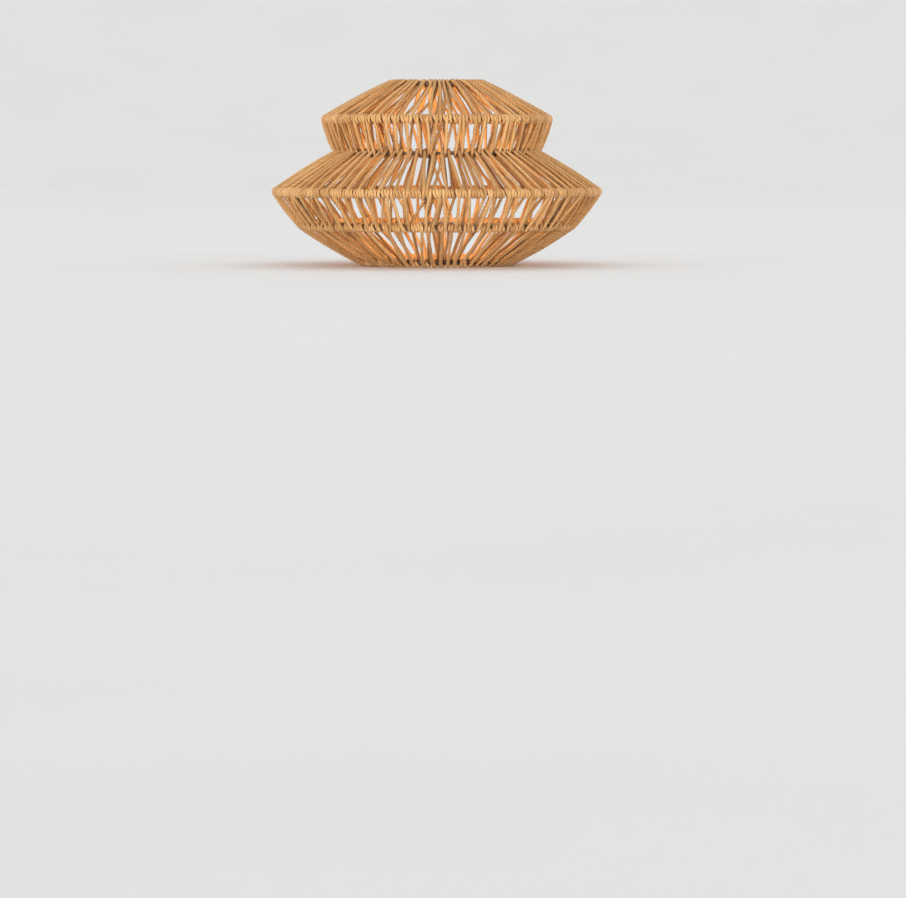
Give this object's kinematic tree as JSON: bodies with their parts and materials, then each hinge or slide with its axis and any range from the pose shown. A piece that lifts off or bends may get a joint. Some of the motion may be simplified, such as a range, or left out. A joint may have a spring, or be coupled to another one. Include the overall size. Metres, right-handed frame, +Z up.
{
  "type": "lamp shade",
  "caption": "Round tiered lamp shade: a welded wire frame wound with twisted paper cord, open at top and bottom, with a spider fitter for a screw lampholder.",
  "frame": {"origin": "centre of the shade's lowest plane, where it stands on its bottom ring", "axes": "+Z up along the shade's axis; the shade is round about Z, and one fitter arm points along +Y"},
  "size_m": [0.505, 0.505, 0.2828],
  "materials": {
    "paper_cord": "matte",
    "frame_wire": "satin",
    "fitter_plate": "satin"
  },
  "bodies": {
    "root": {"winding_crown": "paper_cord", "winding_neck": "paper_cord", "winding_roof": "paper_cord", "winding_belly": "paper_cord", "winding_foot": "paper_cord", "ring_top": "frame_wire", "ring_shoulder": "frame_wire", "ring_waist": "frame_wire", "ring_brim": "frame_wire", "ring_lower": "frame_wire", "ring_bottom": "frame_wire", "rib_1": "frame_wire", "rib_2": "frame_wire", "rib_3": "frame_wire", "rib_4": "frame_wire", "rib_5": "frame_wire", "rib_6": "frame_wire", "fitter_arm_1": "frame_wire", "fitter_arm_2": "frame_wire", "fitter_arm_3": "frame_wire", "fitter_ring": "fitter_plate"}
  },
  "joints": []
}
